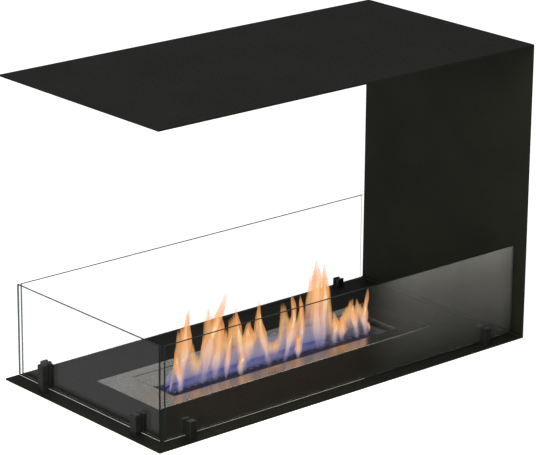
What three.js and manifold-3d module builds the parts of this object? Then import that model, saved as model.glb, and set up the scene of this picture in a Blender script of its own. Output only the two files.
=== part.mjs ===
// Bioethanol fireplace for a room divider: a welded steel casing that is open at the front,
// the left end and the rear, three low glass screens, and a drop-in burner with a sliding lid.
//
// Millimetres, +Z up, +X to the closed end, +Y to the rear. The origin is the centre of the
// base plate's underside, which lies on the plinth; the burner hangs below it, in the plinth's
// opening.

import * as THREE from 'three';
import { mergeVertices } from 'three/addons/utils/BufferGeometryUtils.js';
import Module from 'manifold-3d';

const wasm = await Module();
wasm.setup();

// ---------------------------------------------------------------- driving sizes

// Casing: base, side and top cut from one gauge of sheet and welded along the inside corners
const LENGTH = 800;
const DEPTH = 405;
const HEIGHT = 520;
const SHEET = 3;
const BEAD_WIDTH = 6;
const BEAD_RISE = 3;
const BEAD_CROWN = { across: 0.4, up: 0.75 };

// Glass screens
const GLASS = 4;
const GLASS_HEIGHT = 158;
const GLASS_ARRIS = 0.5;
const FRONT_INSET = 22;
const LEFT_INSET = 22;
const REAR_INSET = 6;
const CORNER_GAP = 3;
const FRONT_SCREEN_END_GAP = 6;
const REAR_SCREEN_END_GAP = 11;

// Clips that hold the screens: a block with a lined slot, screwed up from under the base
const CLIP_WIDTH = 14;
const CLIP_FLOOR = 2;
const CLIP_CHAMFER = 1.2;
const CLIP_LEAD_IN = 0.8;
const OUTER_JAW = 11.5;
const REAR_OUTER_JAW = 4;
const INNER_JAW = 5.5;
const FRONT_CLIP_HEIGHT = 28;
const LEFT_FRONT_CLIP_HEIGHT = 34;
const LEFT_REAR_CLIP_HEIGHT = 44;
const REAR_CLIP_HEIGHT = 14;
const LINER = 0.6;
const LINER_GAP = 0.1;

// Distance from a screen's end to the middle of the nearest clip
const FRONT_CLIP_LEFT_REACH = 47;
const FRONT_CLIP_RIGHT_REACH = 66;
const LEFT_CLIP_FRONT_REACH = 51;
const LEFT_CLIP_REAR_REACH = 76;
const REAR_CLIP_LEFT_REACH = 47;
const REAR_CLIP_RIGHT_REACH = 56;

// Countersunk clip screw
const SCREW_RADIUS = 1.5;
const SCREW_HEAD_RADIUS = 2.9;
const SCREW_LENGTH = 10;
const SCREW_SOCKET_RADIUS = 1.1;
const SCREW_SOCKET_DEPTH = 1.1;
const SCREW_CLEARANCE = 0.15;

// Burner: place of its middle on the base plate, and its flange
const BURNER_X = 7;
const BURNER_Y = 12.5;
const FLANGE_LENGTH = 604;
const FLANGE_WIDTH = 162;
const FLANGE_SHEET = 2;
const FLANGE_CORNER = 2.5;
const FLANGE_FRONT_BORDER = 28;
const FLANGE_END_BORDER = 54.5;
const MOUTH_CORNER = 6;
const MOUTH_REAR_CORNER = 2.5;

// Fire slot in front of the lid, and the lid with the ear that it is pulled by
const SLOT_WIDTH = 53.5;
const LID_WIDTH = 54;
const LID_SHEET = 1.5;
const LID_SIDE_GAP = 0.6;
const LID_REAR_GAP = 3;
const LID_STOP_GAP = 0.5;
const LID_FOLD_LAP = 1.5;
const EAR_OFFSET = -48.5;
const EAR_WIDTH = 9.5;
const EAR_HEIGHT = 13;
const EAR_CORNER = 2;

// Runners, in which the lid's tongues slide
const RUNNER_SHEET = 1.2;
const RUNNER_GAP = 0.3;
const TONGUE_REACH = 8;
const TONGUE_FRONT_SETBACK = 9;
const TONGUE_REAR_SETBACK = 4;

// Outer tray, fuel tank and what lies in them
const TRAY_SHEET = 1.2;
const TRAY_DEPTH = 58;
const TRAY_END_ROOM = 5;
const TRAY_FRONT_ROOM = 6;
const TRAY_CORNER = 4;
const CUTOUT_GAP = 3;
const TANK_SHEET = 1;
const TANK_HEIGHT = 46;
const TANK_END_AIR = 23;
const TANK_SIDE_AIR = 7;
const TANK_CORNER = 5;
const SPACER_WIDTH = 30;
const SPACER_CROWN = 14;
const SPACER_SHEET = 1.2;
const SPACER_HEIGHT = 5;
const SPACER_REACH = 150;
const DECK_SHEET = 1.2;
const DECK_LAP = 8;
const DECK_SETBACK = 1;
const DECK_LIP = 12;
const WOOL_PADS = 3;
const WOOL_HEIGHT = 37;
const WOOL_GAP = 0.5;
const WOOL_CORNER = 6;
const GRILLE_SHEET = 1;
const GRILLE_GAP = 1;
const GRILLE_HOLE_RADIUS = 4;
const GRILLE_PITCH = 15;
const GRILLE_ROWS = 3;

// Faceting
const CORNER_STEPS = 4;
const ROUND_STEPS = 16;
const HOLE_STEPS = 4;

// ---------------------------------------------------------------- places worked out from them

const BASE_TOP = SHEET;
const SIDE_INNER_X = LENGTH / 2 - SHEET;
const TOP_UNDERSIDE = HEIGHT - SHEET;

const SLOT_HALF = GLASS / 2 + LINER + 2 * LINER_GAP;
const CLIP_SEAT = BASE_TOP + CLIP_FLOOR;
const GLASS_BOTTOM = CLIP_SEAT + LINER;

const FRONT_SCREEN_Y = -DEPTH / 2 + FRONT_INSET + GLASS / 2;
const LEFT_SCREEN_X = -LENGTH / 2 + LEFT_INSET + GLASS / 2;
const REAR_SCREEN_Y = DEPTH / 2 - REAR_INSET - GLASS / 2;
const ACROSS_START_X = LEFT_SCREEN_X + GLASS / 2 + CORNER_GAP;
const FRONT_SCREEN_END_X = SIDE_INNER_X - FRONT_SCREEN_END_GAP;
const REAR_SCREEN_END_X = SIDE_INNER_X - REAR_SCREEN_END_GAP;
const LEFT_SCREEN_FRONT_Y = FRONT_SCREEN_Y + GLASS / 2 + CORNER_GAP;
const LEFT_SCREEN_REAR_Y = REAR_SCREEN_Y + GLASS / 2;

// The burner's own frame: X and Y from the middle of the flange, Z from the base plate's top
const MOUTH_FRONT_Y = -FLANGE_WIDTH / 2 + FLANGE_FRONT_BORDER;
const LID_FRONT_Y = MOUTH_FRONT_Y + SLOT_WIDTH;
const LID_REAR_Y = LID_FRONT_Y + LID_WIDTH;
const MOUTH_REAR_Y = LID_REAR_Y + LID_REAR_GAP;
const MOUTH_HALF = FLANGE_LENGTH / 2 - FLANGE_END_BORDER;
const LID_HALF = MOUTH_HALF - LID_SIDE_GAP;
const LID_UNDERSIDE = FLANGE_SHEET - LID_SHEET;
const TONGUE_TOP = -RUNNER_GAP;
const TONGUE_HALF = MOUTH_HALF + TONGUE_REACH;
const LEDGE_TOP = TONGUE_TOP - LID_SHEET - RUNNER_GAP;
const RUNNER_INNER_X = TONGUE_HALF + RUNNER_GAP;
const RUNNER_OUTER_X = RUNNER_INNER_X + RUNNER_SHEET;
const TRAY_HALF = RUNNER_OUTER_X + TRAY_END_ROOM;
const TRAY_FRONT_Y = MOUTH_FRONT_Y - TRAY_FRONT_ROOM - TRAY_SHEET;
const DECK_REAR_Y = MOUTH_REAR_Y + DECK_LAP;
const TRAY_REAR_Y = DECK_REAR_Y + LINER_GAP + TRAY_SHEET;
const TRAY_FLOOR = -TRAY_DEPTH + TRAY_SHEET;
const TANK_HALF = TRAY_HALF - TRAY_SHEET - TANK_END_AIR;
const TANK_FRONT_Y = TRAY_FRONT_Y + TRAY_SHEET + TANK_SIDE_AIR;
const TANK_REAR_Y = TRAY_REAR_Y - TRAY_SHEET - TANK_SIDE_AIR;
const TANK_BOTTOM = TRAY_FLOOR + SPACER_HEIGHT;
const TANK_TOP = TANK_BOTTOM + TANK_HEIGHT;
const WOOL_BOTTOM = TANK_BOTTOM + TANK_SHEET;
const WOOL_TOP = WOOL_BOTTOM + WOOL_HEIGHT;
const LIP_FRONT_Y = LID_FRONT_Y + DECK_SETBACK;
const DECK_HALF = LID_HALF - LID_SHEET - LID_SIDE_GAP;
const LIP_HALF = TANK_HALF - TANK_SHEET - GRILLE_GAP;

// ---------------------------------------------------------------- materials

const blackPowderCoat = { color: 0x1d1e1b, roughness: 0.55, metalness: 0.2 };
const brushedSteel = { color: 0x9c9890, roughness: 0.34, metalness: 1.0 };
const tankSteel = { color: 0x77746d, roughness: 0.45, metalness: 1.0 };
const clipBlack = { color: 0x141513, roughness: 0.4, metalness: 0.3 };
const linerRubber = { color: 0x2a2a2c, roughness: 0.8, metalness: 0 };
const screwBlack = { color: 0x25241f, roughness: 0.45, metalness: 0.8 };
const woolWhite = { color: 0xe6e2d8, roughness: 0.95, metalness: 0 };
const clearGlass = { color: 0xdce8e4, roughness: 0.03, metalness: 0, transparent: true, opacity: 0.25 };

// ---------------------------------------------------------------- helpers

// A named mesh with a material of its own
function piece(name, geometry, look) {
  const mesh = new THREE.Mesh(geometry, new THREE.MeshStandardMaterial(look));
  mesh.name = name;
  return mesh;
}

// A box between two corners
function block(x0, x1, y0, y1, z0, z1) {
  const geometry = new THREE.BoxGeometry(x1 - x0, y1 - y0, z1 - z0);
  return geometry.translate((x0 + x1) / 2, (y0 + y1) / 2, (z0 + z1) / 2);
}

// The closed mesh of a geometry as a solid for cutting and joining
function solid(geometry) {
  const bare = geometry.clone();
  for (const name of Object.keys(bare.attributes)) {
    if (name !== 'position') bare.deleteAttribute(name);
  }
  const merged = mergeVertices(bare, 1e-4);
  const mesh = new wasm.Mesh({
    numProp: 3,
    vertProperties: new Float32Array(merged.attributes.position.array),
    triVerts: new Uint32Array(merged.index.array),
  });
  return new wasm.Manifold(mesh);
}

// A solid back as a geometry
function surface(body) {
  const mesh = body.getMesh();
  const geometry = new THREE.BufferGeometry();
  geometry.setAttribute('position', new THREE.BufferAttribute(mesh.vertProperties, 3));
  geometry.setIndex(new THREE.BufferAttribute(mesh.triVerts, 1));
  const facets = geometry.toNonIndexed();
  facets.computeVertexNormals();
  return facets;
}

// A closed outline through corners [x, y, radius], each rounded by its own radius
function roundedOutline(corners, Outline = THREE.Shape) {
  const outline = new Outline();
  corners.forEach(([x, y, radius], i) => {
    const before = corners[(i + corners.length - 1) % corners.length];
    const after = corners[(i + 1) % corners.length];
    const corner = new THREE.Vector2(x, y);
    const towards = (other) => new THREE.Vector2(other[0], other[1]).sub(corner).normalize();
    const back = towards(before);
    const ahead = towards(after);
    if (radius === 0) {
      if (i === 0) outline.moveTo(x, y);
      else outline.lineTo(x, y);
      return;
    }
    const half = back.angleTo(ahead) / 2;
    const run = radius / Math.tan(half);
    const centre = back.clone().add(ahead).normalize().multiplyScalar(radius / Math.sin(half)).add(corner);
    const start = back.clone().multiplyScalar(run).add(corner).sub(centre);
    const end = ahead.clone().multiplyScalar(run).add(corner).sub(centre);
    const turn = start.cross(end);
    for (let step = 0; step <= CORNER_STEPS; step++) {
      const angle = (step / CORNER_STEPS) * (Math.PI - 2 * half) * Math.sign(turn);
      const point = start.clone().rotateAround(new THREE.Vector2(), angle).add(centre);
      if (i === 0 && step === 0) outline.moveTo(point.x, point.y);
      else outline.lineTo(point.x, point.y);
    }
  });
  outline.closePath();
  return outline;
}

// The corners of a rectangle, anticlockwise from the front left: two front radii, two rear radii
function rectangle(x0, x1, y0, y1, frontRadius = 0, rearRadius = frontRadius) {
  return [[x0, y0, frontRadius], [x1, y0, frontRadius], [x1, y1, rearRadius], [x0, y1, rearRadius]];
}

// An outline in plan, standing from z0 to z1
function standing(shape, z0, z1) {
  const geometry = new THREE.ExtrudeGeometry(shape, { depth: z1 - z0, bevelEnabled: false });
  return geometry.translate(0, 0, z0);
}

// An outline in the X-Z plane, run along Y from y0 to y1
function alongY(shape, y0, y1) {
  const geometry = new THREE.ExtrudeGeometry(shape, { depth: y1 - y0, bevelEnabled: false });
  return geometry.rotateX(Math.PI / 2).translate(0, y1, 0);
}

// An outline in the Y-Z plane, run along X from x0 to x1
function alongX(shape, x0, x1) {
  const geometry = new THREE.ExtrudeGeometry(shape, { depth: x1 - x0, bevelEnabled: false });
  return geometry.rotateX(Math.PI / 2).rotateZ(Math.PI / 2).translate(x0, 0, 0);
}

// An open box of sheet: outside corner radius, floor and walls of one gauge
function openBox(x0, x1, y0, y1, z0, z1, sheet, radius) {
  const outside = standing(roundedOutline(rectangle(x0, x1, y0, y1, radius)), z0, z1);
  const inner = rectangle(x0 + sheet, x1 - sheet, y0 + sheet, y1 - sheet, radius - sheet);
  const inside = standing(roundedOutline(inner), z0 + sheet, z1 + sheet);
  return surface(solid(outside).subtract(solid(inside)));
}

// ---------------------------------------------------------------- clips

// Each screen has its own frame: X runs along the pane from its start, -Y points outwards.
// turns counts quarter turns of that frame in the casing's frame.
const SCREENS = {
  front: {
    start: [ACROSS_START_X, FRONT_SCREEN_Y],
    length: FRONT_SCREEN_END_X - ACROSS_START_X,
    turns: 0,
    outerJaw: OUTER_JAW,
  },
  left: {
    start: [LEFT_SCREEN_X, LEFT_SCREEN_REAR_Y],
    length: LEFT_SCREEN_REAR_Y - LEFT_SCREEN_FRONT_Y,
    turns: -1,
    outerJaw: OUTER_JAW,
  },
  rear: {
    start: [REAR_SCREEN_END_X, REAR_SCREEN_Y],
    length: REAR_SCREEN_END_X - ACROSS_START_X,
    turns: 2,
    outerJaw: REAR_OUTER_JAW,
  },
};

const CLIPS = [
  { name: 'front_left', screen: 'front', along: FRONT_CLIP_LEFT_REACH, height: FRONT_CLIP_HEIGHT },
  {
    name: 'front_right',
    screen: 'front',
    along: SCREENS.front.length - FRONT_CLIP_RIGHT_REACH,
    height: FRONT_CLIP_HEIGHT,
  },
  {
    name: 'left_front',
    screen: 'left',
    along: SCREENS.left.length - LEFT_CLIP_FRONT_REACH,
    height: LEFT_FRONT_CLIP_HEIGHT,
  },
  { name: 'left_rear', screen: 'left', along: LEFT_CLIP_REAR_REACH, height: LEFT_REAR_CLIP_HEIGHT },
  {
    name: 'rear_left',
    screen: 'rear',
    along: SCREENS.rear.length - REAR_CLIP_LEFT_REACH,
    height: REAR_CLIP_HEIGHT,
  },
  { name: 'rear_right', screen: 'rear', along: REAR_CLIP_RIGHT_REACH, height: REAR_CLIP_HEIGHT },
];

// The screw stands in the middle of the wider jaw
function screwAcross(clip) {
  const { outerJaw } = SCREENS[clip.screen];
  if (outerJaw > INNER_JAW) return -SLOT_HALF - outerJaw / 2;
  return SLOT_HALF + INNER_JAW / 2;
}

// The screw's place in the casing's frame
function screwPlace(clip) {
  const { start, turns } = SCREENS[clip.screen];
  const place = new THREE.Vector2(clip.along, screwAcross(clip));
  place.rotateAround(new THREE.Vector2(), turns * Math.PI / 2);
  return place.add(new THREE.Vector2(...start));
}

// Half outline of a countersunk screw, or of its hole when spread is the clearance round it
function countersunk(spread, length) {
  const head = SCREW_HEAD_RADIUS + spread;
  const shank = SCREW_RADIUS + spread;
  const neck = SCREW_CLEARANCE + head - shank;
  return [[0, SCREW_CLEARANCE], [head, SCREW_CLEARANCE], [shank, neck], [shank, length], [0, length]];
}

function revolved(points, steps = ROUND_STEPS) {
  return new THREE.LatheGeometry(points.map(([r, z]) => new THREE.Vector2(r, z)), steps)
    .rotateX(Math.PI / 2);
}

// A clip block: chamfered upright and top edges, a slot with a lead-in, a blind screw hole
function clipBlock(clip) {
  const { outerJaw } = SCREENS[clip.screen];
  const half = CLIP_WIDTH / 2;
  const outerY = -SLOT_HALF - outerJaw;
  const innerY = SLOT_HALF + INNER_JAW;
  const c = CLIP_CHAMFER;
  const plan = new THREE.Shape([
    [-half + c, outerY], [half - c, outerY], [half, outerY + c], [half, innerY - c],
    [half - c, innerY], [-half + c, innerY], [-half, innerY - c], [-half, outerY + c],
  ].map(([x, y]) => new THREE.Vector2(x, y)));
  const top = clip.height;
  const body = new THREE.ExtrudeGeometry(plan, {
    depth: top, bevelThickness: c / 2, bevelSize: c / 2, bevelOffset: -c / 2, bevelSegments: 1,
  }).translate(0, 0, -c / 2);
  const trim = block(-CLIP_WIDTH, CLIP_WIDTH, 2 * outerY, 2 * innerY, -c, 0);
  const slot = new THREE.Shape([
    [-SLOT_HALF, CLIP_FLOOR], [SLOT_HALF, CLIP_FLOOR], [SLOT_HALF, top - CLIP_LEAD_IN],
    [SLOT_HALF + CLIP_LEAD_IN, top], [SLOT_HALF + CLIP_LEAD_IN, top + c],
    [-SLOT_HALF - CLIP_LEAD_IN, top + c], [-SLOT_HALF - CLIP_LEAD_IN, top],
    [-SLOT_HALF, top - CLIP_LEAD_IN],
  ].map(([y, z]) => new THREE.Vector2(y, z)));
  const bore = new THREE.CylinderGeometry(
    SCREW_RADIUS + SCREW_CLEARANCE, SCREW_RADIUS + SCREW_CLEARANCE,
    2 * (SCREW_LENGTH - BASE_TOP + SCREW_CLEARANCE), ROUND_STEPS,
  ).rotateX(Math.PI / 2).translate(0, screwAcross(clip), 0);
  return surface(solid(body)
    .subtract(solid(trim))
    .subtract(solid(alongX(slot, -CLIP_WIDTH, CLIP_WIDTH)))
    .subtract(solid(bore)));
}

// The soft channel that lines a clip's slot
function clipLiner(clip) {
  const outer = SLOT_HALF - LINER_GAP;
  const inner = outer - LINER;
  const top = clip.height - CLIP_LEAD_IN;
  const channel = new THREE.Shape([
    [-outer, CLIP_FLOOR], [outer, CLIP_FLOOR], [outer, top], [inner, top],
    [inner, CLIP_FLOOR + LINER], [-inner, CLIP_FLOOR + LINER], [-inner, top], [-outer, top],
  ].map(([y, z]) => new THREE.Vector2(y, z)));
  return alongX(channel, -CLIP_WIDTH / 2 + CLIP_CHAMFER, CLIP_WIDTH / 2 - CLIP_CHAMFER);
}

// The countersunk screw with a six-sided socket in its head
function clipScrew() {
  const body = revolved(countersunk(0, SCREW_LENGTH));
  const socket = new THREE.CylinderGeometry(
    SCREW_SOCKET_RADIUS, SCREW_SOCKET_RADIUS, 2 * SCREW_SOCKET_DEPTH, 6,
  ).rotateX(Math.PI / 2).translate(0, 0, SCREW_CLEARANCE);
  return surface(solid(body).subtract(solid(socket)));
}

// ---------------------------------------------------------------- casing

function basePlate() {
  const plate = roundedOutline(rectangle(-LENGTH / 2, LENGTH / 2, -DEPTH / 2, DEPTH / 2));
  plate.holes.push(roundedOutline(rectangle(
    BURNER_X - TRAY_HALF - CUTOUT_GAP,
    BURNER_X + TRAY_HALF + CUTOUT_GAP,
    BURNER_Y + TRAY_FRONT_Y - CUTOUT_GAP,
    BURNER_Y + TRAY_REAR_Y + CUTOUT_GAP,
    TRAY_CORNER,
  ), THREE.Path));
  const mouth = new THREE.CylinderGeometry(
    SCREW_HEAD_RADIUS + SCREW_CLEARANCE, SCREW_HEAD_RADIUS + SCREW_CLEARANCE,
    2 * SCREW_CLEARANCE, ROUND_STEPS,
  ).rotateX(Math.PI / 2);
  const hole = solid(revolved(countersunk(SCREW_CLEARANCE, 2 * SHEET))).add(solid(mouth));
  const holes = CLIPS.map((clip) => {
    const { x, y } = screwPlace(clip);
    return hole.translate([x, y, 0]);
  });
  const drilled = holes.reduce((body, hole) => body.subtract(hole), solid(standing(plate, 0, SHEET)));
  return surface(drilled);
}

// A fillet weld along an inside corner of the casing: its face is slightly crowned
function weldBead(cornerZ, upwards) {
  const rise = upwards * BEAD_RISE;
  const bead = new THREE.Shape();
  bead.moveTo(SIDE_INNER_X, cornerZ);
  bead.lineTo(SIDE_INNER_X - BEAD_WIDTH, cornerZ);
  bead.quadraticCurveTo(
    SIDE_INNER_X - BEAD_WIDTH * BEAD_CROWN.across, cornerZ + rise * BEAD_CROWN.up,
    SIDE_INNER_X, cornerZ + rise,
  );
  bead.closePath();
  const run = new THREE.ExtrudeGeometry(bead, {
    depth: DEPTH, bevelEnabled: false, curveSegments: CORNER_STEPS,
  });
  return run.rotateX(Math.PI / 2).translate(0, DEPTH / 2, 0);
}

const casing = new THREE.Group();
casing.add(
  piece('base_plate', basePlate(), blackPowderCoat),
  piece('side_panel', block(
    SIDE_INNER_X, LENGTH / 2, -DEPTH / 2, DEPTH / 2, BASE_TOP, TOP_UNDERSIDE,
  ), blackPowderCoat),
  piece('top_panel', block(
    -LENGTH / 2, LENGTH / 2, -DEPTH / 2, DEPTH / 2, TOP_UNDERSIDE, HEIGHT,
  ), blackPowderCoat),
  piece('lower_weld', weldBead(BASE_TOP, 1), blackPowderCoat),
  piece('upper_weld', weldBead(TOP_UNDERSIDE, -1), blackPowderCoat),
);

// ---------------------------------------------------------------- screens in their clips

// A pane with its arrises taken off all round
function glassPane(length) {
  const a = GLASS_ARRIS;
  const face = roundedOutline(rectangle(0, length, 0, GLASS_HEIGHT));
  return new THREE.ExtrudeGeometry(face, {
    depth: GLASS - 2 * a, bevelThickness: a, bevelSize: a, bevelOffset: -a, bevelSegments: 1,
  }).translate(0, 0, a - GLASS / 2).rotateX(Math.PI / 2);
}

for (const [name, screen] of Object.entries(SCREENS)) {
  const frame = new THREE.Group();
  frame.position.set(...screen.start, 0);
  frame.rotation.z = screen.turns * Math.PI / 2;
  const pane = piece(`${name}_glass`, glassPane(screen.length), clearGlass);
  pane.position.z = GLASS_BOTTOM;
  frame.add(pane);
  for (const clip of CLIPS.filter((entry) => entry.screen === name)) {
    const jaws = piece(`clip_${clip.name}`, clipBlock(clip), clipBlack);
    jaws.position.set(clip.along, 0, BASE_TOP);
    const liner = piece(`clip_liner_${clip.name}`, clipLiner(clip), linerRubber);
    liner.position.copy(jaws.position);
    const screw = piece(`clip_screw_${clip.name}`, clipScrew(), screwBlack);
    screw.position.set(clip.along, screwAcross(clip), 0);
    frame.add(jaws, liner, screw);
  }
  casing.add(frame);
}

// ---------------------------------------------------------------- burner

// The flange that lies on the base plate, with the mouth for the fire slot and the lid
function burnerFlange() {
  const plate = roundedOutline(rectangle(
    -FLANGE_LENGTH / 2, FLANGE_LENGTH / 2, -FLANGE_WIDTH / 2, FLANGE_WIDTH / 2, FLANGE_CORNER,
  ));
  plate.holes.push(roundedOutline(rectangle(
    -MOUTH_HALF, MOUTH_HALF, MOUTH_FRONT_Y, MOUTH_REAR_Y, MOUTH_CORNER, MOUTH_REAR_CORNER,
  ), THREE.Path));
  return standing(plate, 0, FLANGE_SHEET);
}

// The lid: a plate flush with the flange, its ends folded down and out again into tongues that
// run under the flange, and an ear folded up at its front edge
function burnerLid() {
  const plan = rectangle(-LID_HALF, LID_HALF, LID_FRONT_Y, LID_REAR_Y, MOUTH_CORNER + LID_STOP_GAP, 0);
  let lid = solid(standing(roundedOutline(plan), LID_UNDERSIDE, FLANGE_SHEET));
  const foldInside = LID_HALF - LID_SHEET;
  const tongueBottom = TONGUE_TOP - LID_SHEET;
  const fold = [
    [foldInside - LID_FOLD_LAP, FLANGE_SHEET, 0],
    [foldInside - LID_FOLD_LAP, LID_UNDERSIDE, 0],
    [foldInside, LID_UNDERSIDE, 0],
    [foldInside, tongueBottom, LID_SHEET],
    [TONGUE_HALF, tongueBottom, 0],
    [TONGUE_HALF, TONGUE_TOP, 0],
    [LID_HALF, TONGUE_TOP, 0],
    [LID_HALF, FLANGE_SHEET, LID_SHEET / 2],
  ];
  const tongueFront = LID_FRONT_Y + TONGUE_FRONT_SETBACK;
  const tongueRear = LID_REAR_Y - TONGUE_REAR_SETBACK;
  for (const side of [-1, 1]) {
    const profile = fold.map(([x, z, radius]) => [side * x, z, radius]);
    if (side === -1) profile.reverse();
    lid = lid.add(solid(alongY(roundedOutline(profile), tongueFront, tongueRear)));
  }
  const ear = roundedOutline([
    [EAR_OFFSET - EAR_WIDTH / 2, LID_UNDERSIDE, 0],
    [EAR_OFFSET + EAR_WIDTH / 2, LID_UNDERSIDE, 0],
    [EAR_OFFSET + EAR_WIDTH / 2, FLANGE_SHEET + EAR_HEIGHT, EAR_CORNER],
    [EAR_OFFSET - EAR_WIDTH / 2, FLANGE_SHEET + EAR_HEIGHT, EAR_CORNER],
  ]);
  lid = lid.add(solid(alongY(ear, LID_FRONT_Y, LID_FRONT_Y + LID_SHEET)));
  return surface(lid);
}

// A runner: an angle hung from the flange, whose ledge carries a tongue of the lid
function lidRunner(side) {
  const ledgeBottom = LEDGE_TOP - RUNNER_SHEET;
  const profile = [
    [MOUTH_HALF, ledgeBottom, 0],
    [RUNNER_OUTER_X, ledgeBottom, RUNNER_SHEET],
    [RUNNER_OUTER_X, 0, 0],
    [RUNNER_INNER_X, 0, 0],
    [RUNNER_INNER_X, LEDGE_TOP, 0],
    [MOUTH_HALF, LEDGE_TOP, 0],
  ].map(([x, z, radius]) => [side * x, z, radius]);
  if (side === -1) profile.reverse();
  return alongY(roundedOutline(profile), MOUTH_FRONT_Y, MOUTH_REAR_Y);
}

// The deck under the parked lid: it closes the rear of the mouth, and its lip, notched at both
// ends to pass the tank's walls, hangs into the tank behind the fire slot
function lidDeck() {
  const bend = [
    [LIP_FRONT_Y, -DECK_LIP, 0],
    [LIP_FRONT_Y + DECK_SHEET, -DECK_LIP, 0],
    [LIP_FRONT_Y + DECK_SHEET, -DECK_SHEET, 0],
    [DECK_REAR_Y, -DECK_SHEET, 0],
    [DECK_REAR_Y, 0, 0],
    [LIP_FRONT_Y, 0, DECK_SHEET],
  ];
  const flat = rectangle(LIP_FRONT_Y + DECK_SHEET, DECK_REAR_Y, -DECK_SHEET, 0);
  const folded = solid(alongX(roundedOutline(bend), -LIP_HALF, LIP_HALF));
  return surface(folded.add(solid(alongX(roundedOutline(flat), -DECK_HALF, DECK_HALF))));
}

// A hat-shaped channel that holds the tank off the tray's floor
function tankSpacer(x) {
  const outer = SPACER_WIDTH / 2;
  const crown = SPACER_CROWN / 2;
  const top = SPACER_HEIGHT;
  const t = SPACER_SHEET;
  const profile = [
    [-outer, 0], [-crown + t, 0], [-crown + t, top - t], [crown - t, top - t], [crown - t, 0],
    [outer, 0], [outer, t], [crown, t], [crown, top], [-crown, top], [-crown, t], [-outer, t],
  ].map(([px, pz]) => [x + px, TRAY_FLOOR + pz, 0]);
  return alongY(roundedOutline(profile), TANK_FRONT_Y, TANK_REAR_Y);
}

// A pad of ceramic wool, which soaks up the fuel
function woolPad(index) {
  const inside = TANK_HALF - TANK_SHEET - WOOL_GAP;
  const pitch = (2 * inside + WOOL_GAP) / WOOL_PADS;
  const x0 = -inside + index * pitch;
  const y0 = TANK_FRONT_Y + TANK_SHEET + WOOL_GAP;
  const y1 = TANK_REAR_Y - TANK_SHEET - WOOL_GAP;
  const plan = roundedOutline(rectangle(x0, x0 + pitch - WOOL_GAP, y0, y1, WOOL_CORNER));
  return standing(plan, WOOL_BOTTOM, WOOL_TOP);
}

// The grille over the wool in the fire slot: staggered rows of round holes
function flameGrille() {
  const half = LIP_HALF;
  const front = TANK_FRONT_Y + TANK_SHEET + GRILLE_GAP;
  const rear = LIP_FRONT_Y - GRILLE_GAP;
  const plate = roundedOutline(rectangle(-half, half, front, rear, TANK_CORNER));
  const rowPitch = (rear - front) / GRILLE_ROWS;
  for (let row = 0; row < GRILLE_ROWS; row++) {
    const stagger = (row % 2) * GRILLE_PITCH / 2;
    const reach = half - TANK_CORNER - GRILLE_HOLE_RADIUS - stagger;
    const steps = Math.floor(2 * reach / GRILLE_PITCH);
    for (let i = 0; i <= steps; i++) {
      const x = (i - steps / 2) * GRILLE_PITCH;
      const hole = new THREE.Path();
      hole.absarc(x, front + (row + 0.5) * rowPitch, GRILLE_HOLE_RADIUS, 0, 2 * Math.PI, true);
      plate.holes.push(hole);
    }
  }
  const sheet = new THREE.ExtrudeGeometry(plate, {
    depth: GRILLE_SHEET, bevelEnabled: false, curveSegments: HOLE_STEPS,
  });
  return sheet.translate(0, 0, WOOL_TOP);
}

const burner = new THREE.Group();
burner.position.set(BURNER_X, BURNER_Y, BASE_TOP);
burner.add(
  piece('burner_flange', burnerFlange(), brushedSteel),
  piece('burner_tray', openBox(
    -TRAY_HALF, TRAY_HALF, TRAY_FRONT_Y, TRAY_REAR_Y, -TRAY_DEPTH, 0, TRAY_SHEET, TRAY_CORNER,
  ), tankSteel),
  piece('fuel_tank', openBox(
    -TANK_HALF, TANK_HALF, TANK_FRONT_Y, TANK_REAR_Y, TANK_BOTTOM, TANK_TOP, TANK_SHEET, TANK_CORNER,
  ), tankSteel),
  piece('tank_spacer_left', tankSpacer(-SPACER_REACH), tankSteel),
  piece('tank_spacer_right', tankSpacer(SPACER_REACH), tankSteel),
  piece('flame_grille', flameGrille(), tankSteel),
  piece('lid_deck', lidDeck(), tankSteel),
  piece('lid_runner_left', lidRunner(-1), tankSteel),
  piece('lid_runner_right', lidRunner(1), tankSteel),
  piece('burner_lid', burnerLid(), brushedSteel),
);
for (let i = 0; i < WOOL_PADS; i++) {
  burner.add(piece(`wool_pad_${i + 1}`, woolPad(i), woolWhite));
}

const fireplace = new THREE.Group();
fireplace.add(casing, burner);

export default fireplace;
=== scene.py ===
# %% [markdown]
# # A bioethanol fireplace
# The real object is a casing of three black steel plates, open at the front, the left end and the
# rear. Three glass screens stand on its base in small clips, and a stainless burner lies in a
# cut-out of the base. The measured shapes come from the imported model. This lesson gives them
# their finishes, adds what mesh solids lack, and sets up the camera, the floor and the light.

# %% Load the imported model
import math

import bpy
import numpy as np
from mathutils import Matrix, Vector


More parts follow.
